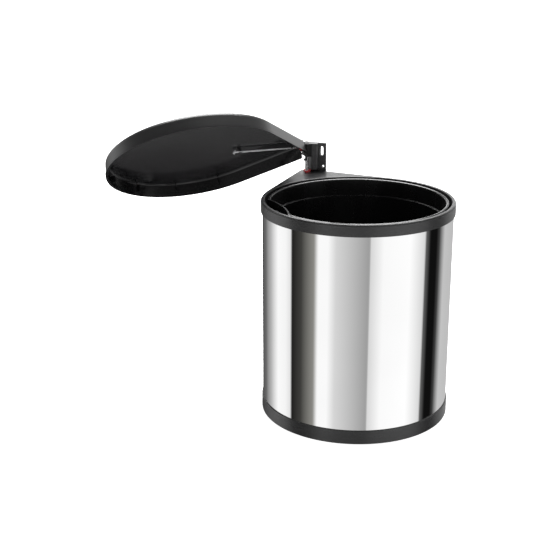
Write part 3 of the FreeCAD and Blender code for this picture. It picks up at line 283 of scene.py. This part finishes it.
# Neck plate: zinc plated sheet that closes the hollow neck from below, with cloudy patches and rolling lines.
# Its two screws go up into bosses on the neck's ribs.
plate_dull = (0.33, 0.33, 0.34)
plate_bright = (0.45, 0.45, 0.46)
plated, place, feed = new_material("plated_sheet", Metallic=1.0)
cloud = place.noise(scale=110.0, detail=4.0)
rolled = place.noise(scale=700.0, detail=2.0, stretch=(1.0, 0.04, 1.0))
feed("Base Color", cloud.ramp((0.3, plate_dull), (0.7, plate_bright)))
feed("Roughness", cloud * 0.16 + rolled * 0.1 + 0.24)
feed("Normal", rolled.bump(strength=0.08, distance=0.0001))
dress(plated, "neck_plate")
screw_reach, screw_side, screw_height = 0.162649, 0.011287, 0.307
neck = Matrix.Rotation(neck_turn, 4, "Z")
facing_down = Matrix.Rotation(math.radians(180), 4, "X")
seats = [(screw_reach, side, screw_height) for side in (screw_side, -screw_side)]
screws = cross_screws(*[neck @ Matrix.Translation(seat) @ facing_down for seat in seats])
add_piece("neck_cross_screws", screws, zinc, "can", "screw_steel", "neck_screws")

# Inner bucket: black moulding that lifts out by the dent in its rim.
# It is glossy, with patches that bags have rubbed a little duller.
bucket_black = (0.0040, 0.0040, 0.0042)
bucket_rubbed = (0.0060, 0.0060, 0.0062)
black, place, feed = new_material("black_moulding")
grain = place.noise(scale=650.0, detail=2.0)
rubbed = place.noise(scale=22.0, detail=4.0, stretch=(1.0, 1.0, 0.4)).ramp((0.42, 0.0), (0.7, 1.0))
feed("Base Color", rubbed.ramp((0.0, bucket_black), (1.0, bucket_rubbed)))
feed("Roughness", grain * 0.06 + 0.2 + rubbed * 0.08)
feed("Normal", grain.bump(strength=0.05, distance=0.0001))
rim_top, rim_rounding, crown_inner, crown_outer = 0.3225, 0.002, 0.12862, 0.1292


def on_crown(spot):
    """Tells whether a place lies on the rounding of the bucket's rim."""
    reach = math.hypot(spot.x, spot.y)
    bend = reach - min(max(reach, crown_inner), crown_outer)
    height = spot.z - rim_top + rim_rounding
    return height > 0.0 and abs(math.hypot(bend, height) - rim_rounding) < 0.00005


# A merged copy of the CAD bucket, with the long fans of facets on its rim joined afresh.
cad_copy = frame["nodes"]["inner_bucket"].data.copy()
cad_copy.attributes.remove(cad_copy.attributes["custom_normal"])
bucket = bmesh.new()
bucket.from_mesh(cad_copy)
bmesh.ops.remove_doubles(bucket, verts=bucket.verts, dist=0.000002)
crown = {face for face in bucket.faces if all(on_crown(vert.co) for vert in face.verts)}
inside = [edge for edge in bucket.edges if len(edge.link_faces) == 2 and crown.issuperset(edge.link_faces)]
bmesh.ops.beautify_fill(bucket, faces=list(crown), edges=inside, method="ANGLE")
add_piece("bucket_moulding", bucket, black, "can", "black_plastic", "inner_bucket")

# Pivot pin, cross pin, lift peg and lid rod: ground steel bar, cut to length.
# The grinding leaves fine lines across them.
ground_dull = (0.72, 0.72, 0.73)
ground_bright = (0.84, 0.84, 0.85)
ground, place, feed = new_material("ground_steel", Metallic=0.8)
rings = place.noise(scale=420.0, detail=2.0, stretch=(0.3, 0.3, 6.0))
feed("Base Color", rings.ramp((0.3, ground_dull), (0.7, ground_bright)))
feed("Roughness", rings * 0.14 + 0.16)
feed("Normal", rings.bump(strength=0.06, distance=0.0001))
dress(ground, "pivot_pin", "cross_pin", "lift_peg", "lid_axle")

# Pivot bush: red moulded bush, pressed into the neck round the pivot pin.
# Its flange shows above the neck and has an ear round the lift peg.
red_dark = (0.58, 0.035, 0.042)
red_light = (0.70, 0.050, 0.058)
red, place, feed = new_material("red_moulding")
haze = place.noise(scale=380.0, detail=2.0)
feed("Base Color", haze.ramp((0.3, red_dark), (0.7, red_light)))
feed("Roughness", haze * 0.14 + 0.24)
feed("Normal", haze.bump(strength=0.05, distance=0.0001))
dress(red, "pivot_bush")

# Lid: one black moulding, satin outside and glossy inside, where the mould is polished.
# It turns on its rod, and its own frame stands where the rod enters, with Z out of its top.
# A face is outside if it looks up out of the lid, or away from the middle of its round end.
lid_black = (0.0042, 0.0042, 0.0045)
lid_pale = (0.0062, 0.0062, 0.0065)
round_end = (-0.27, 0.0, 0.354)
lid_tilt = joints["lid_tilt"]
rod_turn = math.atan2(lid_tilt["axis"][1], lid_tilt["axis"][0])
raised = math.radians(-lid_tilt["range_deg"][0])
rod = Matrix.Translation(lid_tilt["pos_m"]) @ Matrix.Rotation(rod_turn, 4, "Z")
lid = rod @ Matrix.Rotation(raised, 4, "X")
way_up = tuple(lid.col[2].xyz)
glossy, place, feed = new_material("lid_moulding")
grain = place.noise(scale=800.0, detail=2.0)
flow = place.noise(scale=16.0, detail=4.0)
facing = Shade(place.tree, place.socket.node.outputs["Normal"])
outward = place.node("VectorMath", {"operation": "SUBTRACT"}, _0=place, _1=round_end)
upward = facing.dot(way_up)
sideways = outward.dot(facing) - outward.dot(way_up) * upward
outside = upward.ramp((0.02, 0.0), (0.06, 1.0)) + sideways.ramp((0.01, 0.0), (0.03, 1.0))
outside = outside.ramp((0.0, 0.0), (1.0, 1.0))
feed("Base Color", flow.ramp((0.35, lid_black), (0.65, lid_pale)))
feed("Roughness", outside * (grain * 0.12 + 0.2) + 0.09 + flow * 0.03)
feed("Normal", (grain * outside).bump(strength=0.1, distance=0.0001))
dress(glossy, "lid_shell")

# Lever: black moulding on the lid's end wall, a little duller than the lid, held by two screws from inside.
# The lift peg pushes its nose and rolls the lid up.
lever_black = (0.006, 0.006, 0.0065)
lever_pale = (0.009, 0.009, 0.0095)
dull, place, feed = new_material("lever_moulding")
grain = place.noise(scale=600.0, detail=2.0)
feed("Base Color", place.noise(scale=90.0).ramp((0.35, lever_black), (0.65, lever_pale)))
feed("Roughness", grain * 0.12 + 0.24)
feed("Normal", grain.bump(strength=0.08, distance=0.0001))
dress(dull, "lid_lever")
wall_face, screw_sides, screw_drop = 0.0094, (0.006, 0.012), -0.0025
facing_in = Matrix.Rotation(math.radians(90), 4, "Y")
seats = [(wall_face, side, screw_drop) for side in screw_sides]
screws = cross_screws(*[lid @ Matrix.Translation(seat) @ facing_in for seat in seats])
add_piece("lever_cross_screws", screws, zinc, "lid", "screw_steel", "lever_screws")

# Rod clip: a moulded spring clip under the lid's top, in which the rod snaps from the side.
# Its two jaws reach round the rod, and a foot joins them to the lid.
clip_start, clip_length = 0.106, 0.0045
jaw_inner, jaw_outer, half_mouth = 0.00165, 0.0028, 0.75
foot_size = (clip_length, 0.0034, 0.0024)
foot_place = (clip_start + clip_length / 2, -0.0002, 0.0033)
edge_rounding = 0.00018
clip = bmesh.new()
lip = (math.cos(half_mouth), math.sin(half_mouth))
line = [clip.verts.new((clip_start, reach * lip[0], reach * lip[1])) for reach in (jaw_inner, jaw_outer)]
clip.edges.new(line)
jaw_turn = 2 * math.pi - 2 * half_mouth
bmesh.ops.spin(clip, geom=line + list(clip.edges), axis=(1, 0, 0), angle=jaw_turn, steps=22)
jaws = bmesh.ops.extrude_face_region(clip, geom=list(clip.faces), use_keep_orig=True)["geom"]
bmesh.ops.translate(clip, verts=verts_of(jaws), vec=(clip_length, 0.0, 0.0))
foot = bmesh.ops.create_cube(clip, size=1.0)["verts"]
bmesh.ops.scale(clip, verts=foot, vec=foot_size)
bmesh.ops.translate(clip, verts=foot, vec=foot_place)
bmesh.ops.recalc_face_normals(clip, faces=clip.faces)
sharp = [edge for edge in clip.edges if edge.calc_face_angle(0.0) > math.radians(60)]
bmesh.ops.bevel(clip, geom=sharp, offset=edge_rounding, segments=2, profile=0.5, affect="EDGES", material=-1)
bmesh.ops.transform(clip, verts=clip.verts, matrix=lid)
add_piece("rod_spring_clip", clip, dull, "lid", "lid_plastic", "rod_clip")

# Floor: a plain pale sheet that the can stands on.
# It is lit from below like a light table, so it shows no shadow.
floor_reach, floor_height = 40.0, -0.0004
pale_dark = (0.53, 0.53, 0.53)
pale_light = (0.55, 0.55, 0.55)
white = (1.0, 1.0, 1.0, 1.0)
floor_mesh = bpy.data.meshes.new("floor")
sheet = bmesh.new()
bmesh.ops.create_circle(sheet, cap_ends=True, segments=96, radius=floor_reach)
bmesh.ops.translate(sheet, verts=sheet.verts, vec=(0.0, 0.0, floor_height))
sheet.to_mesh(floor_mesh)
sheet.free()
floor = bpy.data.objects.new("floor", floor_mesh)
bpy.context.scene.collection.objects.link(floor)
floor.visible_glossy = False
pale, place, feed = new_material("pale_floor", Roughness=0.9, Emission_Color=white, Emission_Strength=0.95)
feed("Base Color", place.noise(scale=3.0, detail=2.0).ramp((0.3, pale_dark), (0.7, pale_light)))
floor_mesh.materials.append(pale)

# Studio: five tall walls of soft light round the object, with a warm and a black gap between them.
# A white backdrop stands behind at the height of the can, and a broad lamp hangs above it.
# Each wall has its edges as degrees to the right of the studio's front, and its brightness there.
front_turn = math.radians(24.1)
neutral = (1.0, 1.0, 1.0)
warm = (1.0, 0.985, 0.91)
dark_corner = [(-180, 0.03)]
left_wall = [(-148, 0.16), (-130, 0.55), (-113, 1.15), (-98, 1.1), (-88.8, 0.9)]
warm_gap = [(-88.4, 0.012), (-73, 0.06), (-55.5, 0.31)]
narrow_wall = [(-50, 1.15), (-38, 1.15)]
grey_wall = [(-28, 0.8), (-8, 0.6), (11.2, 0.4)]
front_wall = [(11.6, 0.8), (28, 1.15), (62, 1.2), (84, 0.81)]
black_gap = [(85, 0.15), (93, 0.006), (105, 0.006), (111, 0.06)]
far_wall = [(124, 0.64), (180, 0.5)]
stops = []
for wall in (dark_corner, left_wall, warm_gap, narrow_wall, grey_wall, front_wall, black_gap, far_wall):
    tint = warm if wall is warm_gap else neutral
    for degrees, light in wall:
        stops.append((degrees / 360 + 0.5, tuple(light * channel for channel in tint)))
world = bpy.data.worlds.new("studio")
world.use_nodes = True
bpy.context.scene.world = world
sky = world.node_tree.nodes.new("ShaderNodeTexCoord")
ray = Shade(world.node_tree, sky.outputs["Generated"])
across = ray.axis(0) * math.cos(front_turn) + ray.axis(1) * math.sin(front_turn)
towards = ray.axis(0) * math.sin(front_turn) - ray.axis(1) * math.cos(front_turn)
turn = ray.calculate("ARCTAN2", across, towards) * (0.5 / math.pi) + 0.5
level = ray.axis(2) * 0.5 + 0.5
ring = turn.ramp(*stops)

# The floor that the raised lid mirrors is dim, and lighter towards the front.
below_lid = (0.626, -0.492, -0.605)
dusk = ray.dot(below_lid).ramp((0.09, 0.012), (0.114, 0.2), (0.13, 0.24))
glow = level.ramp((0.05, 1.0), (0.09, 0.0), (0.18, 0.0), (0.23, 1.0)).mix(dusk, ring)

# Above the walls come the backdrop, the dim ceiling and the lamp.
backdrop = turn.ramp((0.0, 2.8), (0.1, 2.0), (0.26, 0.7), (0.5, 0.6), (0.7, 1.0),
                     (0.82, 1.5), (0.86, 1.62), (0.93, 2.2), (1.0, 2.8))
ceiling = turn.ramp((0.0, 0.22), (0.3, 0.26), (0.5, 0.24), (0.66, 0.45), (0.8, 0.5), (1.0, 0.25))
lamp_way = (-0.2, 0.45, 0.87)
lamp_light = (14.0, 14.0, 14.0, 1.0)
lamp = (ray.dot(lamp_way) * 0.5 + 0.5).ramp((0.935, 0.0), (0.955, 1.0))
glow = level.ramp((0.44, 0.0), (0.47, 1.0)).mix(glow, backdrop)
glow = level.ramp((0.57, 0.0), (0.62, 1.0)).mix(glow, ceiling)
glow = lamp.mix(glow, lamp_light)
background = world.node_tree.nodes["Background"]
world.node_tree.links.new(glow.socket, background.inputs["Color"])

# Camera: where the photograph was taken from, above the can's rim and to its right.
# A long lens keeps the can's sides nearly upright.
looking = Vector((-0.387042, 0.865368, -0.318333))
lens = bpy.data.cameras.new("camera")
lens.lens = 75.97
lens.sensor_width = 36.0
lens.clip_end = 60.0
camera = bpy.data.objects.new("camera", lens)
bpy.context.scene.collection.objects.link(camera)
camera.location = (0.573746, -1.559396, 0.756596)
camera.rotation_euler = looking.to_track_quat("-Z", "Y").to_euler()
bpy.context.scene.camera = camera
bpy.context.scene.view_settings.view_transform = "Standard"
